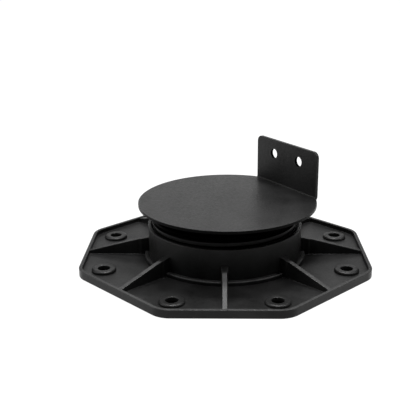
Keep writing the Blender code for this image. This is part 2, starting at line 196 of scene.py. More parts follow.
def moulded_plastic(name, dark, pale, wear_and_highlight_grey, roughness, refraction, grain_depth, grain_size):
    """Black plastic whose grey drifts from dark to pale, with a moulded grain and worn edges."""
    material = bpy.data.materials.new(name)
    material.use_nodes = True
    tree = material.node_tree
    shader = tree.nodes["Principled BSDF"]
    place = add_node(tree, "ShaderNodeTexCoord").outputs["Object"]
    drift = add_node(tree, "ShaderNodeTexNoise", inputs={
        "Vector": place, "Scale": 38.0, "Detail": 4.0, "Roughness": 0.6})
    grain = add_node(tree, "ShaderNodeTexNoise", inputs={
        "Vector": place, "Scale": 1.0 / grain_size, "Detail": 3.0, "Roughness": 0.62})
    peel = add_node(tree, "ShaderNodeTexNoise", inputs={
        "Vector": place, "Scale": 0.4 / grain_size, "Detail": 2.0, "Roughness": 0.5})

    drifting = add_node(tree, "ShaderNodeMapRange", inputs={
        "Value": drift.outputs["Fac"], "From Min": 0.32, "From Max": 0.68})
    speckle = add_node(tree, "ShaderNodeMapRange", inputs={
        "Value": grain.outputs["Fac"], "From Min": 0.3, "From Max": 0.7,
        "To Min": -0.25, "To Max": 0.25})
    blend = add_node(tree, "ShaderNodeMath", {"operation": "ADD", "use_clamp": True}, {
        0: drifting.outputs["Result"], 1: speckle.outputs["Result"]})
    body = add_node(tree, "ShaderNodeMix", {"data_type": "RGBA"}, {
        "Factor": blend.outputs[0], 6: (dark, dark, dark, 1.0), 7: (pale, pale, pale, 1.0)})

    # Convex edges turn paler and smoother: partly wear from handling, partly a painted highlight
    # along the edges.
    thickness = add_node(tree, "ShaderNodeAmbientOcclusion", {
        "samples": 6, "inside": True, "only_local": True}, {"Distance": 0.0012})
    edge = add_node(tree, "ShaderNodeMapRange", inputs={
        "Value": thickness.outputs["AO"], "From Min": 0.96, "From Max": 0.62})
    # One mottle spreads over the worn edges and over the painted highlights.
    wear_and_highlight_mottle = add_node(tree, "ShaderNodeTexNoise", inputs={
        "Vector": place, "Scale": 260.0, "Detail": 3.0, "Roughness": 0.6})
    rubbed = add_node(tree, "ShaderNodeMapRange", inputs={
        "Value": wear_and_highlight_mottle.outputs["Fac"], "From Min": 0.25, "From Max": 0.6,
        "To Min": 0.5, "To Max": 1.0})
    wear_and_highlight = add_node(tree, "ShaderNodeMath", {"operation": "MULTIPLY"}, {
        0: edge.outputs["Result"], 1: rubbed.outputs["Result"]})
    colour = add_node(tree, "ShaderNodeMix", {"data_type": "RGBA"}, {
        "Factor": wear_and_highlight.outputs[0], 6: body.outputs[2], 7: (wear_and_highlight_grey, wear_and_highlight_grey, wear_and_highlight_grey, 1.0)})
    # Painted highlight: where the mesh is marked, the colour turns to that paler grey.
    painted_highlight_mark = add_node(tree, "ShaderNodeAttribute", {"attribute_name": "rubbed"})
    painted_highlighting = add_node(tree, "ShaderNodeMath", {"operation": "MULTIPLY"}, {
        0: painted_highlight_mark.outputs["Fac"], 1: rubbed.outputs["Result"]})
    highlit = add_node(tree, "ShaderNodeMix", {"data_type": "RGBA"}, {
        "Factor": painted_highlighting.outputs[0], 6: colour.outputs[2], 7: (HIGHLIGHT_GREY, HIGHLIGHT_GREY, HIGHLIGHT_GREY, 1.0)})
    # Painted shade: where the mesh is marked, the colour turns black and the sheen goes.
    dull = add_node(tree, "ShaderNodeAttribute", {"attribute_name": "dull"})
    painted_black = add_node(tree, "ShaderNodeMix", {"data_type": "RGBA"}, {
        "Factor": dull.outputs["Fac"], 6: highlit.outputs[2], 7: (0.0, 0.0, 0.0, 1.0)})
    tree.links.new(painted_black.outputs[2], shader.inputs["Base Color"])
    sheen = add_node(tree, "ShaderNodeMapRange", inputs={
        "Value": dull.outputs["Fac"], "To Min": 0.5, "To Max": 0.02})
    tree.links.new(sheen.outputs["Result"], shader.inputs["Specular IOR Level"])

    rough = add_node(tree, "ShaderNodeMapRange", inputs={
        "Value": peel.outputs["Fac"], "From Min": 0.3, "From Max": 0.7,
        "To Min": roughness - 0.05, "To Max": roughness + 0.06})
    smoother = add_node(tree, "ShaderNodeMath", {"operation": "MULTIPLY_ADD"}, {
        0: wear_and_highlight.outputs[0], 1: -0.12, 2: rough.outputs["Result"]})
    tree.links.new(smoother.outputs[0], shader.inputs["Roughness"])

    wavy = add_node(tree, "ShaderNodeBump", inputs={
        "Strength": 0.45, "Distance": grain_depth, "Height": peel.outputs["Fac"]})
    grainy = add_node(tree, "ShaderNodeBump", inputs={
        "Strength": 0.6, "Distance": grain_depth, "Height": grain.outputs["Fac"],
        "Normal": wavy.outputs["Normal"]})
    tree.links.new(grainy.outputs["Normal"], shader.inputs["Normal"])
    shader.inputs["IOR"].default_value = refraction
    return material


# %% The three finishes
foot_plastic = moulded_plastic(
    "foot plastic", dark=0.004, pale=0.012, wear_and_highlight_grey=0.018, roughness=0.35, refraction=1.25,
    grain_depth=0.00006, grain_size=0.00060)
# The sleeve's plastic is set far darker and less glossy than the foot's: painted shade for the
# shade in its thread and under the plate.
sleeve_plastic = moulded_plastic(
    "sleeve plastic", dark=0.0005, pale=0.0015, wear_and_highlight_grey=0.004, roughness=0.22, refraction=1.12,
    grain_depth=0.00003, grain_size=0.00060)
plate_plastic = moulded_plastic(
    "plate plastic", dark=0.004, pale=0.012, wear_and_highlight_grey=0.015, roughness=0.36, refraction=1.25,
    grain_depth=0.00018, grain_size=0.00070)
print("materials:", [m.name for m in (foot_plastic, sleeve_plastic, plate_plastic)])

# %% [markdown]
# Drawing tools
#
# A moulded part has hardly a sharp edge on it, and the small radii are what catches the light. So
# most shapes here start as an outline whose corners each have a radius, and one helper turns the
# corners into arcs. A second helper turns such an outline round the Z axis, as a lathe would, and
# a third makes an object from the faces and shades it: faces smooth, real edges sharp, and large
# flat faces kept flat by weighting each corner's normal by the area of the faces round it.

# %% Outlines with rounded corners
def rounded(corners, steps=4):
    """Points of a closed outline, given as (x, y, radius) corners, with an arc at each corner."""
    points = []
    for k, (x, y, radius) in enumerate(corners):
        here = Vector((x, y))
        if radius <= 0:
            points.append(here)
            continue
        back = (Vector(corners[k - 1][:2]) - here).normalized()
        onward = (Vector(corners[(k + 1) % len(corners)][:2]) - here).normalized()
        half = back.angle(onward) / 2
        centre = here + (back + onward).normalized() * radius / sin(half)
        first = here + back * radius / tan(half) - centre
        last = here + onward * radius / tan(half) - centre
        start = atan2(first.y, first.x)
        sweep = (atan2(last.y, last.x) - start + pi) % (2 * pi) - pi
        for step in range(steps + 1):
            angle = start + sweep * step / steps
            points.append(centre + radius * Vector((cos(angle), sin(angle))))
    return points


# %% A lathe for closed outlines of radius and height
TURNED_SIDES = 192


def turned(outline, sides):
    """Turn a closed outline, which never touches the axis, round Z."""
    build = bmesh.new()
    rings = []
    for k in range(sides):
        angle = 2 * pi * k / sides
        rings.append([build.verts.new((r * cos(angle), r * sin(angle), z)) for r, z in outline])
    for k in range(sides):
        here, there = rings[k], rings[(k + 1) % sides]
        for j in range(len(outline)):
            after = (j + 1) % len(outline)
            build.faces.new((here[j], there[j], there[after], here[after]))
    return build


# %% From faces to a shaded object
def shaded(item, sharp_angle=radians(38)):
    """Smooth faces, sharp real edges, and corner normals weighted by face area."""
    item.data.shade_smooth()
    item.data.set_sharp_from_angle(angle=sharp_angle)
    weighting = item.modifiers.new("flat faces stay flat", "WEIGHTED_NORMAL")
    weighting.keep_sharp = True
    weighting.weight = 100
    return item


def new_piece(name, build, material):
    """Make an object of the faces in build, which all point outwards afterwards."""
    bmesh.ops.recalc_face_normals(build, faces=build.faces)
    mesh = bpy.data.meshes.new(name)
    build.to_mesh(mesh)
    build.free()
    mesh.materials.append(material)
    item = bpy.data.objects.new(name, mesh)
    bpy.context.scene.collection.objects.link(item)
    return item


def plain_mesh(item):
    """Turn what the modifiers make of item into its own mesh, and take the modifiers away."""
    view = bpy.context.evaluated_depsgraph_get()
    result = bpy.data.meshes.new_from_object(item.evaluated_get(view), depsgraph=view)
    item.modifiers.clear()
    item.data = result
    result.name = item.name
    return item


def mark(mesh, label, share, domain="POINT"):
    """Store share(place), from 0 to 1, on each vertex or face, for the material to read."""
    by_face = domain == "FACE"
    places = [f.center for f in mesh.polygons] if by_face else [v.co for v in mesh.vertices]
    shares = [float(share(place)) for place in places]
    mesh.attributes.new(label, "FLOAT", domain).data.foreach_set("value", shares)
    print(mesh.name, "has", sum(1 for x in shares if x > 0), "places marked", label)


def report(item):
    low = [min(v.co[axis] for v in item.data.vertices) for axis in range(3)]
    high = [max(v.co[axis] for v in item.data.vertices) for axis in range(3)]
    print(item.name, len(item.data.polygons), "faces, box in mm",
          [round(1000 * x, 1) for x in low], [round(1000 * x, 1) for x in high])


# %% [markdown]
# The foot's tray
#
# The foot is a flat octagon with a raised rim. Its sides aren't all at the same distance from the
# middle, so the plan is worked out corner by corner: two neighbouring sides meet in a sharp
# corner, and an arc of 16 mm rounds it. The wall is a ladder of such loops, one for each point of
# the rim's section. The floor is one flat face with nine holes in it, for the collar's bore and
# the eight screws, which a fill between closed loops of edges makes in one go.

# %% The foot's plan
def side_distance(angle):
    """Distance from the middle to the side that faces angle."""
    along_x, along_y = abs(round(cos(angle), 6)), abs(round(sin(angle), 6))
    if along_y == 0:
        return FOOT_HALF_X
    return FOOT_HALF_Y if along_x == 0 else FOOT_HALF_DIAGONAL


def foot_corner(angle, inset=0.0):
    """Sharp corner between the side that faces angle and the next side, both moved in by inset."""
    a, b = side_distance(angle) - inset, side_distance(angle + pi / 4) - inset
    span = sin(pi / 4)
    return Vector(((a * sin(angle + pi / 4) - b * sin(angle)) / span,
                   (b * cos(angle) - a * cos(angle + pi / 4)) / span))


SIDE_ANGLES = [k * pi / 4 for k in range(8)]
CORNER_STEPS = 12


def octagon(inset):
    """The foot's plan, moved in by inset, with an arc at each corner."""
    points = []
    radius = FOOT_CORNER_RADIUS - inset
    for angle in SIDE_ANGLES:
        centre = foot_corner(angle, inset + radius)
        for step in range(CORNER_STEPS + 1):
            turn = angle + pi / 4 * step / CORNER_STEPS
            points.append(centre + radius * Vector((cos(turn), sin(turn))))
    return points


BOSS_PLACES = [corner - corner.normalized() * BOSS_INSET
               for corner in (foot_corner(angle) for angle in SIDE_ANGLES)]
print("screw holes in mm:", [[round(1000 * x, 1) for x in place] for place in BOSS_PLACES])


# %% The tray
def circle(middle, radius, height, sides):
    return [(middle[0] + radius * cos(2 * pi * k / sides),
             middle[1] + radius * sin(2 * pi * k / sides), height) for k in range(sides)]


def close_loop(build, loop):
    """The edges round a loop of vertices, made if they aren't there."""
    edges = []
    for k, vert in enumerate(loop):
        after = loop[(k + 1) % len(loop)]
        edges.append(build.edges.get((vert, after)) or build.edges.new((vert, after)))
    return edges


def tray():
    build = bmesh.new()
    shelf = RIM_WIDTH + 0.0020
    section = rounded([(shelf, 0.0, 0), (0.0, 0.0, 0.0004),
                       (0.0, RIM_TOP, RIM_ROUNDING), (RIM_WIDTH, RIM_TOP, RIM_ROUNDING),
                       (RIM_WIDTH, FLOOR_TOP, FLOOR_FILLET), (shelf, FLOOR_TOP, 0)], steps=5)
    loops = [[build.verts.new((x, y, height)) for x, y in octagon(inset)]
             for inset, height in section]
    for lower, upper in zip(loops, loops[1:]):
        for k in range(len(lower)):
            after = (k + 1) % len(lower)
            build.faces.new((lower[k], lower[after], upper[after], upper[k]))
    below, above = close_loop(build, loops[0]), close_loop(build, loops[-1])
    openings = [((0.0, 0.0), PLAIN_BORE_RADIUS + 0.0002, 128)]
    openings += [(place, SEAT_RADIUS + 0.0010, 32) for place in BOSS_PLACES]
    for middle, radius, sides in openings:
        low = [build.verts.new(p) for p in circle(middle, radius, 0.0, sides)]
        high = [build.verts.new(p) for p in circle(middle, radius, FLOOR_TOP, sides)]
        below += close_loop(build, low)
        above += close_loop(build, high)
        for k in range(sides):
            after = (k + 1) % sides
            build.faces.new((low[k], low[after], high[after], high[k]))
    for edges in (below, above):
        bmesh.ops.triangle_fill(build, use_beauty=True, use_dissolve=False, edges=edges)
    return build


# The rim's top carries a painted highlight, strongest at the front.
RIM_HIGHLIGHT_DEPTH, RIM_HIGHLIGHT_MOST = 0.00012, 0.40
RIM_HIGHLIGHT_FROM, RIM_HIGHLIGHT_PER_METRE = 0.080, 30.0


def rim_highlight(place):
    """Painted highlight along the top of the rim, from nothing at the sides to most at the front.
    """
    forward = max(-place.y - RIM_HIGHLIGHT_FROM, 0.0)
    on_top = place.z > RIM_TOP - RIM_HIGHLIGHT_DEPTH
    return on_top * min(forward * RIM_HIGHLIGHT_PER_METRE, RIM_HIGHLIGHT_MOST)


foot_tray = shaded(new_piece("foot_tray", tray(), foot_plastic))
mark(foot_tray.data, "rubbed", rim_highlight)
report(foot_tray)

# %% [markdown]
# The collar
#
# A round collar stands in the middle of the foot, with a low step round its base. It is turned
# from one closed outline. A lathe shape could also come from the Screw modifier, but an outline
# in code lets each corner have its own radius, and the lip and the step show those radii as thin
# bright lines; on the step, a painted highlight adds to the line. The thread inside comes later,
# together with the sleeve's.

# %% Collar
step_radius = COLLAR_RADIUS + COLLAR_STEP_WIDTH
step_top = FLOOR_TOP + COLLAR_STEP_HEIGHT
collar_outline = rounded([
    (PLAIN_BORE_RADIUS, HIDDEN, 0), (step_radius, HIDDEN, 0),
    (step_radius, step_top, 0.0008), (COLLAR_RADIUS, step_top, 0.0002),
    (COLLAR_RADIUS, COLLAR_TOP, 0.0005), (COLLAR_GROOVE_RADIUS + 0.0006, COLLAR_TOP, 0.0002),
    (COLLAR_GROOVE_RADIUS, COLLAR_TOP - 0.0006, 0.0002),
    (COLLAR_GROOVE_RADIUS, PLAIN_BORE_TOP, 0), (PLAIN_BORE_RADIUS, PLAIN_BORE_TOP, 0)], steps=6)
# The step's top edge carries a painted highlight.
STEP_HIGHLIGHT = 0.35


def step_highlight(place):
    """Painted highlight on the rounded top edge of the step."""
    return STEP_HIGHLIGHT * (place.xy.length > step_radius - 0.0009 and place.z > step_top - 0.0006)


collar = shaded(new_piece("collar", turned(collar_outline, TURNED_SIDES), foot_plastic))
mark(collar.data, "rubbed", step_highlight)
report(collar)

# %% [markdown]
# A tree that stands copies of a part on points
#
# Eight gussets, eight bosses and six clips repeat round the pedestal. Each is drawn once, and a
# Geometry Nodes tree stands a copy on every point of a helper mesh. The tree can turn the copies
# outwards, away from the axis, and stretch each by the point's own "stretch" vector, because the
# foot's sides aren't all equally far out. Realize Instances makes them real faces at the end.

# %% Tree: part on points
def open_tree(name, inputs):
    """A new Geometry Nodes tree with named inputs, its input node and its output node."""
    tree = bpy.data.node_groups.new(name, "GeometryNodeTree")
    for label, kind, value in inputs:
        socket = tree.interface.new_socket(label, in_out="INPUT", socket_type=kind)
        if value is not None:
            socket.default_value = value
    tree.interface.new_socket("Geometry", in_out="OUTPUT", socket_type="NodeSocketGeometry")
    return tree, tree.nodes.new("NodeGroupInput").outputs, tree.nodes.new("NodeGroupOutput")


def part_on_points():
    tree, given, result = open_tree("part on points", [
        ("Geometry", "NodeSocketGeometry", None), ("Part", "NodeSocketObject", None),
        ("Turn Outwards", "NodeSocketFloat", 1.0), ("Material", "NodeSocketMaterial", None)])
    part = add_node(tree, "GeometryNodeObjectInfo", inputs={"Object": given["Part"]})
    place = add_node(tree, "GeometryNodeInputPosition")
    apart = add_node(tree, "ShaderNodeSeparateXYZ", inputs={0: place.outputs[0]})
    angle = add_node(tree, "ShaderNodeMath", {"operation": "ARCTAN2"}, {
        0: apart.outputs["Y"], 1: apart.outputs["X"]})
    turned_by = add_node(tree, "ShaderNodeMath", {"operation": "MULTIPLY"}, {
        0: angle.outputs[0], 1: given["Turn Outwards"]})
    rotation = add_node(tree, "ShaderNodeCombineXYZ", inputs={"Z": turned_by.outputs[0]})
    stretch = add_node(tree, "GeometryNodeInputNamedAttribute", {"data_type": "FLOAT_VECTOR"},
                       {"Name": "stretch"})
    copies = add_node(tree, "GeometryNodeInstanceOnPoints", inputs={
        "Points": given["Geometry"], "Instance": part.outputs["Geometry"],
        "Rotation": rotation.outputs[0], "Scale": stretch.outputs["Attribute"]})
    real = add_node(tree, "GeometryNodeRealizeInstances", inputs={
        "Geometry": copies.outputs["Instances"]})
    finish = add_node(tree, "GeometryNodeSetMaterial", inputs={
        "Geometry": real.outputs["Geometry"], "Material": given["Material"]})
    tree.links.new(finish.outputs["Geometry"], result.inputs["Geometry"])
    return tree


POINTS_TREE = part_on_points()


# %% Running a tree
def run_tree(host, tree, values):
    """Give host the tree as a modifier, set its inputs by identifier, and keep the plain result."""
    identifiers = {socket.name: socket.identifier for socket in tree.interface.items_tree
                   if socket.in_out == "INPUT"}
    modifier = host.modifiers.new(tree.name, "NODES")
    modifier.node_group = tree
    for label, value in values.items():
        modifier[identifiers[label]] = value
    return plain_mesh(host)


UNSTRETCHED = (1.0, 1.0, 1.0)


def repeated(name, part_build, places, stretches, turn_outwards, material, label=None, share=None):
    """Stand a copy of a part on each place, marked if need be, and drop the single part."""
    part = new_piece(name + "_part", part_build, material)
    if label:
        mark(part.data, label, share)
    build = bmesh.new()
    for place in places:
        build.verts.new((place[0], place[1], 0.0))
    host = new_piece(name, build, material)
    stretch = host.data.attributes.new("stretch", "FLOAT_VECTOR", "POINT")
    stretch.data.foreach_set("vector", [x for size in stretches for x in size])
    run_tree(host, POINTS_TREE, {
        "Part": part, "Turn Outwards": float(turn_outwards), "Material": material})
    bpy.data.objects.remove(part)
    report(host)
    return host


# %% [markdown]
# Gussets
#
# Eight upright webs carry the load from the collar to the rim. Seen from the side, the top edge
# leaves the collar almost level, bends at a knee and runs straight down to the rim. A web is
# lofted along its length: each row is a section with rounded top edges and a fillet at the foot,
# and the section widens where the web runs into the collar and into the rim, as a moulded web
# does. The first 6 mm at the collar are a thicker root with a rounded shoulder. Drawn this way the
# fillets are real faces, and they show as soft lines of light. The diagonal webs are stretched to
# stand 3 % higher, and the top edges of the three front webs carry a painted highlight.

# %% One gusset, drawn along X from the collar's wall
GUSSET_REACH = FOOT_HALF_DIAGONAL - RIM_WIDTH / 2 - COLLAR_RADIUS
GUSSET_EDGE_ROUNDING = 0.00025
GUSSET_FILLET = 0.0005
GUSSET_KNEE_EASING = 0.0005
GUSSET_SHOULDER = 0.0009
DIAGONAL_GUSSET_STRETCH = 1.03


def flare(distance, radius):
    """How far a fillet of this radius stands out at a distance from the wall that it meets."""
    if distance >= radius:
        return 0.0
    away = radius - max(distance, 0.0)
    return radius - (radius * radius - away * away) ** 0.5


def gusset_top(x):
    """Height of the top edge at x from the collar, with a softly eased knee."""
    rim_x = GUSSET_REACH - RIM_WIDTH / 2
    knee_top = GUSSET_TOP_AT_COLLAR - GUSSET_KNEE_DROP
    level = GUSSET_TOP_AT_COLLAR - GUSSET_KNEE_DROP * x / GUSSET_KNEE_DISTANCE
    rim_end = RIM_TOP - GUSSET_BELOW_RIM
    past_knee = (x - GUSSET_KNEE_DISTANCE) / (rim_x - GUSSET_KNEE_DISTANCE)
    slope = knee_top + (rim_end - knee_top) * past_knee
    gap = level - slope
    return (level + slope - (gap ** 2 + GUSSET_KNEE_EASING ** 2) ** 0.5) / 2


def root_share(x):
    """1 along the thick root, 0 along the thin web, with a rounded shoulder between the two."""
    past = (x - GUSSET_KNEE_DISTANCE) / GUSSET_SHOULDER
    return 1.0 if past <= -1 else 0.0 if past >= 1 else 0.5 - 0.5 * sin(past * pi / 2)


def gusset():
    wall = GUSSET_REACH - RIM_WIDTH / 2
    knee = GUSSET_KNEE_DISTANCE
    close = [-0.0010, 0.0, 0.0001, 0.0002, 0.0004, 0.0006, GUSSET_FILLET]
    root_more = GUSSET_ROOT_HALF_THICKNESS - GUSSET_HALF_THICKNESS
    rows = close + [0.0020, 0.0035, 0.0044]
    rows += [knee + 0.0001 * k for k in (-9, -6, -3, 0, 3, 6, 9, 14, 24)]
    rows += [0.0100 + (wall - 0.0120) * k / 8 for k in range(9)]
    rows += [wall - x for x in reversed(close[1:])] + [GUSSET_REACH]
    build = bmesh.new()
    sections = []
    for x in sorted(set(rows)):
        half = (GUSSET_HALF_THICKNESS + flare(x, GUSSET_FILLET / 3) + root_share(x) * root_more
                + flare(wall - x, FLOOR_FILLET))
        top = gusset_top(min(x, wall))
        base = FLOOR_TOP - HIDDEN
        fillet = min(GUSSET_FILLET, (top - FLOOR_TOP) / 3)
        side = []
        for step in range(6):
            turn = pi / 2 * step / 5
            side.append((half + fillet - fillet * sin(turn), base + fillet - fillet * cos(turn)))
        for step in range(5):
            turn = pi / 2 * step / 4
            side.append((half - GUSSET_EDGE_ROUNDING + GUSSET_EDGE_ROUNDING * cos(turn),
                         top - GUSSET_EDGE_ROUNDING + GUSSET_EDGE_ROUNDING * sin(turn)))
        outline = [(half + fillet, base - 0.0010)] + side
        outline += [(-y, z) for y, z in reversed(outline)]
        sections.append([build.verts.new((x, y, z)) for y, z in outline])
    for here, there in zip(sections, sections[1:]):
        for k in range(len(here)):
            after = (k + 1) % len(here)
            build.faces.new((here[k], there[k], there[after], here[after]))
    build.faces.new(sections[0])
    build.faces.new(list(reversed(sections[-1])))
    return build


gusset_places = [COLLAR_RADIUS * Vector((cos(a), sin(a))) for a in SIDE_ANGLES]
gusset_stretch = [((side_distance(a) - RIM_WIDTH / 2 - COLLAR_RADIUS) / GUSSET_REACH, 1.0,
                   DIAGONAL_GUSSET_STRETCH if k % 2 else 1.0)
                  for k, a in enumerate(SIDE_ANGLES)]
gussets = shaded(repeated("gussets", gusset(), gusset_places, gusset_stretch, True, foot_plastic))


# The top edges of these three front webs carry a painted highlight.
FRONT_GUSSETS = (5, 6, 7)


def gusset_highlight(place):
    """Painted highlight on the three front webs: along the top edge from the knee on, and less
    towards the rim.
    """
    k = round(atan2(place.y, place.x) / (pi / 4)) % 8
    stretch_x, _, stretch_z = gusset_stretch[k]
    along = place.xy @ Vector((cos(SIDE_ANGLES[k]), sin(SIDE_ANGLES[k]))) - COLLAR_RADIUS
    x = min(max(along / stretch_x, 0.0), GUSSET_REACH - RIM_WIDTH / 2)
    on_top = place.z / stretch_z > gusset_top(x) - 0.6 * GUSSET_EDGE_ROUNDING
    past_knee = min(max((x - GUSSET_KNEE_DISTANCE - 0.0002) / 0.0016, 0.0), 1.0)
    return (k in FRONT_GUSSETS) * on_top * past_knee * (1.2 - 0.7 * min(x / 0.024, 1.0))


mark(gussets.data, "rubbed", gusset_highlight)

# %% [markdown]
# Bosses
#
# Each screw goes down through a low boss with a rounded crown, like a ring lying on the floor.
# Its mouth is wide enough for the screw's head, which sits on a seat near the bottom, and the
# inside of the hole is painted black without sheen, as painted shade. A boss is a turned ring, and
# eight copies stand on the lines from the middle to the corners.

# %% Bosses
BOSS_SIDES = 48
boss_top = FLOOR_TOP + BOSS_HEIGHT
boss_outline = rounded([
    (HOLE_RADIUS, HIDDEN, 0.0002), (BOSS_RADIUS - 0.0010, HIDDEN, 0),
    (BOSS_RADIUS, FLOOR_TOP / 2, 0), (BOSS_RADIUS - 0.0001, boss_top - 0.0002, 0.0014),
    (BOSS_CROWN_RADIUS, boss_top, 0.0010), (HOLE_MOUTH_RADIUS, boss_top - 0.0001, 0.0005),
    (SEAT_RADIUS, SEAT_HEIGHT, 0.0002), (HOLE_RADIUS, SEAT_HEIGHT - 0.0001, 0.0001)], steps=5)


# The hole's inside is painted black without sheen: painted shade.
def in_screw_hole(place):
    return place.xy.length < HOLE_MOUTH_RADIUS and place.z < boss_top - 0.0007


bosses = shaded(repeated("bosses", turned(boss_outline, BOSS_SIDES), BOSS_PLACES,
                         [UNSTRETCHED] * len(BOSS_PLACES), False, foot_plastic, "dull",
                         in_screw_hole))

# %% [markdown]
# The threads
#
# A thread is one ridge that climbs round a cylinder like a ramp, which is just what a curve with
# a profile makes: a Spiral curve gives the ramp, a four-sided curve gives the ridge's section,
# and Curve to Mesh sweeps one along the other. Set Curve Radius lets the ridge grow out of the
# wall at its start and fade at its end, as a moulded thread does. The same tree makes the
# sleeve's thread, whose ridge points outwards, and the collar's, whose ridge points inwards and
# lies in the other's groove. An inward ridge comes out of the sweep inside out, so its faces are
# flipped.

# %% Tree: thread ridge
def thread_ridge():
    tree, given, result = open_tree("thread ridge", [
        ("Geometry", "NodeSocketGeometry", None), ("Wall Radius", "NodeSocketFloat", 0.05),
        ("Depth", "NodeSocketFloat", 0.0015), ("Foot Width", "NodeSocketFloat", 0.003),
        ("Crest Width", "NodeSocketFloat", 0.0007), ("Pitch", "NodeSocketFloat", 0.004),
        ("Turns", "NodeSocketFloat", 5.0), ("Start Height", "NodeSocketFloat", 0.0),
        ("Start Angle", "NodeSocketFloat", 0.0),
        ("Run-out Turns", "NodeSocketFloat", 0.1), ("Sides", "NodeSocketInt", 128),
        ("Material", "NodeSocketMaterial", None)])
    climb = add_node(tree, "ShaderNodeMath", {"operation": "MULTIPLY"}, {
        0: given["Pitch"], 1: given["Turns"]})
    path = add_node(tree, "GeometryNodeCurveSpiral", inputs={
        "Resolution": given["Sides"], "Rotations": given["Turns"],
        "Start Radius": given["Wall Radius"], "End Radius": given["Wall Radius"],
        "Height": climb.outputs[0], "Reverse": True})
    upright = add_node(tree, "GeometryNodeSetCurveNormal", {"mode": "Z_UP"}, {
        "Curve": path.outputs["Curve"]})
    along = add_node(tree, "GeometryNodeSplineParameter")
    left = add_node(tree, "ShaderNodeMath", {"operation": "SUBTRACT"}, {
        0: 1.0, 1: along.outputs["Factor"]})
    nearer = add_node(tree, "ShaderNodeMath", {"operation": "MINIMUM"}, {
        0: along.outputs["Factor"], 1: left.outputs[0]})
    gone = add_node(tree, "ShaderNodeMath", {"operation": "MULTIPLY"}, {
        0: nearer.outputs[0], 1: given["Turns"]})
    share = add_node(tree, "ShaderNodeMath", {"operation": "DIVIDE", "use_clamp": True}, {
        0: gone.outputs[0], 1: given["Run-out Turns"]})
    grown = add_node(tree, "ShaderNodeMath", {"operation": "MAXIMUM"}, {
        0: share.outputs[0], 1: 0.02})
    fading = add_node(tree, "GeometryNodeSetCurveRadius", inputs={
        "Curve": upright.outputs["Curve"], "Radius": grown.outputs[0]})

    corners = []
    for width, depth in (("Foot Width", None), ("Crest Width", "Depth")):
        for sign in (-0.5, 0.5):
            half = add_node(tree, "ShaderNodeMath", {"operation": "MULTIPLY"}, {
                0: given[width], 1: sign})
            reach = {} if depth is None else {"X": given[depth]}
            corners.append(add_node(tree, "ShaderNodeCombineXYZ", inputs={
                "Y": half.outputs[0], **reach}).outputs[0])
    section = add_node(tree, "GeometryNodeCurvePrimitiveQuadrilateral", {"mode": "POINTS"}, {
        "Point 1": corners[0], "Point 2": corners[2], "Point 3": corners[3],
        "Point 4": corners[1]})
    eased = add_node(tree, "GeometryNodeFilletCurve", {"mode": "POLY"}, {
        "Curve": section.outputs["Curve"], "Count": 3, "Radius": 0.00018})
    swept = add_node(tree, "GeometryNodeCurveToMesh", inputs={
        "Curve": fading.outputs["Curve"], "Profile Curve": eased.outputs["Curve"],
        "Fill Caps": True})
    if "Scale" in swept.inputs:
        tree.links.new(grown.outputs[0], swept.inputs["Scale"])
    lift = add_node(tree, "ShaderNodeCombineXYZ", inputs={"Z": given["Start Height"]})
    bearing = add_node(tree, "ShaderNodeCombineXYZ", inputs={"Z": given["Start Angle"]})
    raised = add_node(tree, "GeometryNodeTransform", inputs={
        "Geometry": swept.outputs["Mesh"], "Translation": lift.outputs[0],
        "Rotation": bearing.outputs[0]})
    real = add_node(tree, "GeometryNodeRealizeInstances", inputs={
        "Geometry": raised.outputs["Geometry"]})
    finish = add_node(tree, "GeometryNodeSetMaterial", inputs={
        "Geometry": real.outputs["Geometry"], "Material": given["Material"]})
    tree.links.new(finish.outputs["Geometry"], result.inputs["Geometry"])
    return tree


THREAD_TREE = thread_ridge()


# %% Threads of the collar and the sleeve
def thread(name, wall_radius, depth, foot_width, crest_width, phase, start, end, material):
    """A right-handed ridge whose middle line climbs from start to end, and would pass the height
    phase where it crosses the X axis. So both threads can lie in each other's grooves."""
    host = new_piece(name, bmesh.new(), material)
    run_tree(host, THREAD_TREE, {
        "Wall Radius": wall_radius, "Depth": depth, "Foot Width": foot_width,
        "Crest Width": crest_width, "Pitch": THREAD_PITCH, "Start Height": start,
        "Start Angle": 2 * pi * (start - phase) / THREAD_PITCH,
        "Turns": (end - start) / THREAD_PITCH, "Material": material})
    if depth < 0:
        host.data.flip_normals()
    report(host)
    return host


sleeve_foot = THREAD_PITCH - THREAD_ROOT_WIDTH
collar_foot = THREAD_PITCH - THREAD_CREST_WIDTH
sleeve_thread = thread("sleeve_thread", SLEEVE_ROOT_RADIUS - HIDDEN, THREAD_DEPTH + HIDDEN,
                       sleeve_foot, THREAD_CREST_WIDTH, THREAD_PITCH / 2 + THREAD_RISE,
                       SLEEVE_BOTTOM + sleeve_foot / 2, SLEEVE_NECK_BOTTOM - sleeve_foot / 2,
                       sleeve_plastic)
collar_thread = thread("collar_thread", COLLAR_GROOVE_RADIUS + HIDDEN, -THREAD_DEPTH - HIDDEN,
                       collar_foot, THREAD_ROOT_WIDTH, THREAD_RISE,
                       PLAIN_BORE_TOP + collar_foot / 2, COLLAR_TOP - 0.0006 - collar_foot / 2,
                       foot_plastic)
# Painted highlight on the crests, and painted shade on the thread under the plate.
CREST_HIGHLIGHT, CREST_HIGHLIGHT_TOP = 0.12, 0.0312
SHADE_START, SHADE_DEPTH = 0.0308, 0.0012


def crest_highlight(place):
    """Painted highlight on the crests that turn in and out of the collar."""
    on_crest = place.xy.length > SLEEVE_ROOT_RADIUS + THREAD_DEPTH - 0.0003
    return CREST_HIGHLIGHT * (on_crest and place.z < CREST_HIGHLIGHT_TOP)


def under_plate(place):
    """Painted shade under the plate: 0 below the plate's shade, rising to 1 well inside it."""
    return min(max((place.z - SHADE_START) / SHADE_DEPTH, 0.0), 1.0)


mark(sleeve_thread.data, "rubbed", crest_highlight)
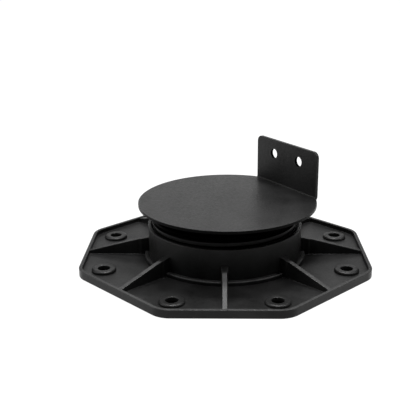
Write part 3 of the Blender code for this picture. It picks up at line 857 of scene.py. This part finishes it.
# Painted shade on the thread under the plate.
mark(sleeve_thread.data, "dull", under_plate)

# %% [markdown]
# The screw sleeve
#
# The sleeve is an open tube with its thread outside, and a flange turned inwards at its top. The
# top plate clips into the flange's hole, and the narrow neck above the thread shows as a dark gap
# below the plate; the tube's outside is painted black without sheen, as painted shade.

# %% Sleeve
sleeve_outline = rounded([
    (SLEEVE_BORE_RADIUS, SLEEVE_BOTTOM, 0.0003), (SLEEVE_ROOT_RADIUS, SLEEVE_BOTTOM, 0.0006),
    (SLEEVE_ROOT_RADIUS, SLEEVE_NECK_BOTTOM, 0.0002),
    (SLEEVE_NECK_RADIUS, SLEEVE_NECK_BOTTOM, 0.0002),
    (SLEEVE_NECK_RADIUS, SLEEVE_TOP, 0.0004), (FLANGE_HOLE_RADIUS, SLEEVE_TOP, 0.0004),
    (FLANGE_HOLE_RADIUS, FLANGE_UNDERSIDE, 0.0003), (SLEEVE_BORE_RADIUS, FLANGE_UNDERSIDE, 0.0006)],
    steps=4)
sleeve_tube = shaded(new_piece("sleeve_tube", turned(sleeve_outline, TURNED_SIDES), sleeve_plastic))
# The tube's outside is painted black without sheen: painted shade under the plate.
mark(sleeve_tube.data, "dull", lambda place: place.xy.length > SLEEVE_BORE_RADIUS + 0.0010)
report(sleeve_tube)

# %% [markdown]
# The top plate and its lug
#
# The plate looks as if it were cut from sheet and folded: a disc, with a straight lug turned up at
# one side and a narrow relief slit at each end of the fold. So it is made like that. A flat blank
# is extruded to its thickness, the edge between the slits is spun up through a quarter turn, and
# the end of the bend is drawn out to the lug's height. A Bevel modifier with three segments eases
# the edges, and Booleans then drill the two fixing holes, whose rims stay sharp. The holes' walls
# and the plate's low edge get painted shade, face by face: black, with less sheen.

# %% The folded blank
def folded_plate():
    """The plate in the lug's own directions, turned to the lug's bearing at the end."""
    build = bmesh.new()
    fold = LUG_DISTANCE - LUG_BEND_RADIUS
    slit = LUG_HALF_WIDTH + LUG_RELIEF_WIDTH
    gap = asin(slit / PLATE_RADIUS)
    steps = 220
    rim = []
    for k in range(steps + 1):
        angle = gap + 2 * (pi - gap) * k / steps
        rim.append((PLATE_OFFSET + PLATE_RADIUS * cos(angle), PLATE_RADIUS * sin(angle)))
    rim += [(fold, -slit), (fold, -LUG_HALF_WIDTH), (fold, LUG_HALF_WIDTH), (fold, slit)]
    blank = build.faces.new([build.verts.new((x, y, PLATE_UNDERSIDE)) for x, y in rim])
    raised = bmesh.ops.extrude_face_region(build, geom=[blank])
    top = [v for v in raised["geom"] if isinstance(v, bmesh.types.BMVert)]
    bmesh.ops.translate(build, verts=top, vec=(0.0, 0.0, LUG_THICKNESS))
    middle = Vector((fold, 0.0, (PLATE_TOP + PLATE_UNDERSIDE) / 2))
    edge_face = min(build.faces, key=lambda f: (f.calc_center_median() - middle).length)
    bent = bmesh.ops.spin(build, geom=[edge_face], cent=(fold, 0.0, PLATE_TOP + LUG_BEND_RADIUS),
                          axis=(0.0, -1.0, 0.0), angle=pi / 2, steps=12, use_duplicate=False)
    last = [f for f in bent["geom_last"] if isinstance(f, bmesh.types.BMFace)][0]
    drawn = bmesh.ops.extrude_face_region(build, geom=[last])
    ends = [v for v in drawn["geom"] if isinstance(v, bmesh.types.BMVert)]
    bmesh.ops.translate(build, verts=ends, vec=(0.0, 0.0, LUG_TOP - PLATE_TOP - LUG_BEND_RADIUS))
    inner = [f for f in (edge_face, last) if f.is_valid]
    bmesh.ops.delete(build, geom=inner, context="FACES_ONLY")
    corners = [e for e in build.edges
               if all(abs(v.co.z - LUG_TOP) < 0.00001 for v in e.verts)
               and abs(e.verts[0].co.y - e.verts[1].co.y) < 0.00001]
    bmesh.ops.bevel(build, geom=corners, offset=LUG_CORNER_RADIUS, segments=10,
                    profile=0.5, affect="EDGES", clamp_overlap=True)
    bmesh.ops.rotate(build, verts=build.verts, matrix=Matrix.Rotation(LUG_DIRECTION, 3, "Z"))
    return build


top_plate = new_piece("plate_and_lug", folded_plate(), plate_plastic)
report(top_plate)


# %% Fixing holes in the lug
def hole_cutter(side):
    build = bmesh.new()
    bmesh.ops.create_cone(build, cap_ends=True, segments=48, radius1=LUG_HOLE_RADIUS,
                          radius2=LUG_HOLE_RADIUS, depth=3 * LUG_THICKNESS)
    bmesh.ops.rotate(build, verts=build.verts, matrix=Matrix.Rotation(pi / 2, 3, "Y"))
    bmesh.ops.translate(build, verts=build.verts, vec=(
        LUG_DISTANCE + LUG_THICKNESS / 2, side * LUG_HOLE_SPACING / 2, LUG_HOLE_HEIGHT))
    bmesh.ops.rotate(build, verts=build.verts, matrix=Matrix.Rotation(LUG_DIRECTION, 3, "Z"))
    return new_piece("hole cutter", build, plate_plastic)


PLATE_EDGE_EASING = 0.0004
edges_eased = top_plate.modifiers.new("eased edges", "BEVEL")
edges_eased.width = PLATE_EDGE_EASING
edges_eased.segments = 3
edges_eased.limit_method = "ANGLE"
edges_eased.angle_limit = radians(45)
edges_eased.harden_normals = False
cutters = [hole_cutter(side) for side in (-1, 1)]
for cutter in cutters:
    drill = top_plate.modifiers.new("hole", "BOOLEAN")
    drill.operation, drill.solver, drill.object = "DIFFERENCE", "EXACT", cutter
plain_mesh(top_plate)
for cutter in cutters:
    bpy.data.objects.remove(cutter)
shaded(top_plate)
report(top_plate)


# %% Painted shade on the plate
NEAR = 0.0002
PLATE_EDGE_SHADE = 0.85


def in_lug_hole(place):
    out = place.xy @ Vector((cos(LUG_DIRECTION), sin(LUG_DIRECTION)))
    across = place.xy @ Vector((-sin(LUG_DIRECTION), cos(LUG_DIRECTION)))
    reach = ((abs(across) - LUG_HOLE_SPACING / 2) ** 2 + (place.z - LUG_HOLE_HEIGHT) ** 2) ** 0.5
    depth = out - LUG_DISTANCE
    return reach < LUG_HOLE_RADIUS + NEAR and NEAR < depth < LUG_THICKNESS - NEAR


# Painted shade: full on the lug holes' walls, most of it on the plate's low edge.
def painted_shade_share(place):
    plate_middle = PLATE_OFFSET * Vector((cos(LUG_DIRECTION), sin(LUG_DIRECTION)))
    on_edge = (place.xy - plate_middle).length > PLATE_RADIUS - NEAR
    low_on_edge = on_edge and place.z < PLATE_TOP - 0.0003
    return 1.0 if in_lug_hole(place) else PLATE_EDGE_SHADE * low_on_edge


mark(top_plate.data, "dull", painted_shade_share, "FACE")

# %% [markdown]
# Clips under the plate
#
# Six springy hooks under the plate reach through the sleeve's flange and snap below it, so the
# plate can't come off but can still be turned. A clip is a hooked section swept through a short
# arc. They hardly show, but they are what holds the two pieces together.

# %% Clips
def clip():
    """One hook, drawn at the origin so that a point at the clip's outer radius can carry it."""
    inner, outer = -CLIP_THICKNESS, 0.0
    section = rounded([
        (inner, PLATE_UNDERSIDE + 0.0012, 0), (inner, HOOK_TIP, 0.0004), (outer, HOOK_TIP, 0.0003),
        (outer + CLIP_HOOK, HOOK_TOP - 0.0004, 0.0002), (outer + CLIP_HOOK, HOOK_TOP, 0.0001),
        (outer, HOOK_TOP, 0.0001), (outer, PLATE_UNDERSIDE + 0.0012, 0)], steps=3)
    build = bmesh.new()
    rows = []
    for step in range(13):
        angle = CLIP_ANGLE * (step / 12 - 0.5)
        rows.append([build.verts.new((
            (CLIP_OUTER_RADIUS + x) * cos(angle) - CLIP_OUTER_RADIUS,
            (CLIP_OUTER_RADIUS + x) * sin(angle), z)) for x, z in section])
    for here, there in zip(rows, rows[1:]):
        for k in range(len(here)):
            after = (k + 1) % len(here)
            build.faces.new((here[k], there[k], there[after], here[after]))
    build.faces.new(rows[0])
    build.faces.new(list(reversed(rows[-1])))
    return build


clip_angles = [2 * pi * k / CLIP_COUNT + CLIP_ANGLE / 2 for k in range(CLIP_COUNT)]
clip_places = [CLIP_OUTER_RADIUS * Vector((cos(a), sin(a))) for a in clip_angles]
plate_clips = shaded(repeated("plate_clips", clip(), clip_places, [UNSTRETCHED] * CLIP_COUNT,
                              True, plate_plastic))

# %% [markdown]
# Floor and light
#
# The pedestal stands on a plain white sweep that is lit so strongly that it has no shadow left on
# it, as in many shop pictures. A floor that glows itself gives the same result. The glow starts
# just inside the foot's outline, so that no light comes up through the open core. The light comes
# from large soft panels above, behind and at the sides, and little of it from the camera's side,
# so that black plastic shows its shape by reflections. Two round key lights high up give the
# rounded edges their brighter lines.

# %% Floor
FLOOR_REACH = 12.0
FLOOR_GAP = 0.0001
GLOW_START, GLOW_FULL = 0.088, 0.094

floor_build = bmesh.new()
bmesh.ops.create_grid(floor_build, x_segments=1, y_segments=1, size=FLOOR_REACH)
bmesh.ops.translate(floor_build, verts=floor_build.verts, vec=(0.0, 0.0, -FLOOR_GAP))
floor_material = bpy.data.materials.new("white sweep")
floor_material.use_nodes = True
sweep = floor_material.node_tree.nodes["Principled BSDF"]
sweep.inputs["Base Color"].default_value = (0.05, 0.05, 0.05, 1.0)
sweep.inputs["Roughness"].default_value = 1.0
sweep.inputs["Specular IOR Level"].default_value = 0.0
sweep.inputs["Emission Color"].default_value = (1.0, 1.0, 1.0, 1.0)
floor_tree = floor_material.node_tree
floor_place = add_node(floor_tree, "ShaderNodeTexCoord").outputs["Object"]
from_middle = add_node(floor_tree, "ShaderNodeVectorMath", {"operation": "LENGTH"}, {
    0: floor_place})
glow = add_node(floor_tree, "ShaderNodeMapRange", inputs={
    "Value": from_middle.outputs["Value"], "From Min": GLOW_START, "From Max": GLOW_FULL})
floor_tree.links.new(glow.outputs["Result"], sweep.inputs["Emission Strength"])
floor_sheet = new_piece("floor", floor_build, floor_material)


# %% Light
STUDIO_RADIUS = 2.0


def panel(name, azimuth, low, high, width_angle, radiance, shape="RECTANGLE"):
    """A soft panel on the sphere round the pedestal, between two elevations in degrees."""
    azimuth, middle = radians(azimuth), radians((low + high) / 2)
    place = STUDIO_RADIUS * Vector((
        cos(azimuth) * cos(middle), sin(azimuth) * cos(middle), sin(middle)))
    data = bpy.data.lights.new(name, "AREA")
    data.shape = shape
    across = STUDIO_RADIUS if shape == "DISK" else STUDIO_RADIUS * cos(middle)
    data.size = 2 * across * sin(radians(width_angle) / 2)
    data.size_y = STUDIO_RADIUS * radians(high - low)
    area = pi * data.size ** 2 / 4 if shape == "DISK" else data.size * data.size_y
    data.energy = radiance * pi * area
    item = bpy.data.objects.new(name, data)
    bpy.context.scene.collection.objects.link(item)
    item.matrix_world = (Matrix.Translation(place)
                         @ (-place).to_track_quat("-Z", "Y").to_matrix().to_4x4())
    print(name, "is", round(data.size, 2), "m across with", round(data.energy, 1), "W")
    return item


panel("overhead panel", 90, 66, 76, 90, 42.0)
panel("front top panel", 270, 66, 76, 90, 9.0)
panel("front key light", 270, 74, 86, 12, 34.0, "DISK")
panel("top key light", 90, 84, 96, 12, 16.0, "DISK")
panel("high right panel", 0, 50, 66, 90, 6.5)
panel("high left panel", 180, 50, 66, 90, 3.6)
panel("low back strip", 90, 0, 8, 45, 1.6)
panel("back panel", 90, 8, 16, 45, 0.93)
panel("middle back panel", 90, 16, 25, 45, 0.20)
panel("tall back panel", 90, 25, 35, 45, 1.12)
panel("high back panel", 90, 35, 50, 45, 1.4)
panel("left panel", 180, 0, 50, 45, 2.1)
panel("right panel", 0, 20, 50, 45, 1.1)

world = bpy.data.worlds.new("studio")
world.use_nodes = True
world.node_tree.nodes["Background"].inputs["Color"].default_value = (0.0, 0.0, 0.0, 1.0)
bpy.context.scene.world = world
bpy.context.scene.view_settings.view_transform = "Standard"

# %% [markdown]
# Riding on the CAD bodies
#
# The three CAD bodies move: the head slides up and down, and the sleeve turns as it does. Each
# piece rides on its body and stands for the CAD node that it replaces, which is then no longer
# shown.

# %% Ride and replace
DRESS = {
    "foot": ("foot_and_collar", "foot_plastic",
             [foot_tray, collar, gussets, bosses, collar_thread]),
    "sleeve": ("screw_sleeve", "sleeve_plastic", [sleeve_tube, sleeve_thread]),
    "head": ("top_plate", "plate_plastic", [top_plate, plate_clips]),
}
for body, (node, slot, pieces) in DRESS.items():
    for piece in pieces:
        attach(piece, body)
        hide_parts(node)
    print(body, "carries", [piece.name for piece in pieces])
